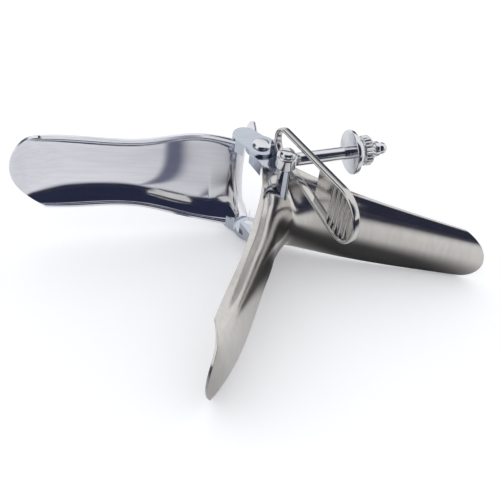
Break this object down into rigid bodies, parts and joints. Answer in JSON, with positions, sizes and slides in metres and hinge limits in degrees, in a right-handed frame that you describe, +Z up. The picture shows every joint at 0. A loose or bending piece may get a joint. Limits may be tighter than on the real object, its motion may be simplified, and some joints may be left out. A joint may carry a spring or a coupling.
{
  "type": "bivalve speculum",
  "caption": "Open bivalve speculum of polished steel: two hinged trough blades, a long grip on the lower one, a side thumb lever and a screw rod with a knurled nut.",
  "frame": {"origin": "middle of the bounding box, on the table", "axes": "+Z up from the table, +X from the upper blade's tip to the end of the grip, -Y along the lower blade to its tip"},
  "size_m": [0.2012, 0.1348, 0.065],
  "materials": {
    "blade_steel": "polished stainless sheet",
    "fittings_steel": "polished stainless pressings",
    "turned_steel": "polished turned stainless"
  },
  "bodies": {
    "lower": {"lower_blade": "blade_steel", "lower_lug_lever_side": "fittings_steel", "lower_lug_plain_side": "fittings_steel", "hinge_rivet_lever_side": "turned_steel", "hinge_rivet_plain_side": "turned_steel", "pivot_post": "turned_steel", "pivot_screw": "turned_steel"},
    "upper": {"upper_blade": "blade_steel", "upper_lug_lever_side": "fittings_steel", "upper_lug_plain_side": "fittings_steel", "thumb_lever": "fittings_steel"},
    "rod": {"screw_rod": "turned_steel", "rod_end_stop": "turned_steel"},
    "disc": {"pressure_disc": "turned_steel"},
    "nut": {"knurled_nut": "turned_steel"}
  },
  "joints": [
    {"name": "valve_hinge", "type": "hinge", "parent": "lower", "child": "upper", "pos_m": [0.0051, 0.04243, 0.02641], "axis": [0.1272, -0.0945, 0.9874], "range_deg": [0, 60]},
    {"name": "rod_swing", "type": "hinge", "parent": "lower", "child": "rod", "pos_m": [0.01812, 0.01919, 0.05694], "axis": [0.1272, -0.0945, 0.9874], "range_deg": [0, 63]},
    {"name": "disc_slide", "type": "slide", "parent": "rod", "child": "disc", "axis": [-0.94, -0.3292, 0.0896], "range_m": [0, 0.001]},
    {"name": "nut_turn", "type": "hinge", "parent": "disc", "child": "nut", "pos_m": [0.01812, 0.01919, 0.05694], "axis": [-0.94, -0.3292, 0.0896], "range_deg": [0, 361]}
  ],
  "couplings": [
    {"joint": "rod_swing", "follows": "valve_hinge", "ratio": 1.03},
    {"joint": "nut_turn", "follows": "disc_slide", "rad_per_m": 6283}
  ]
}
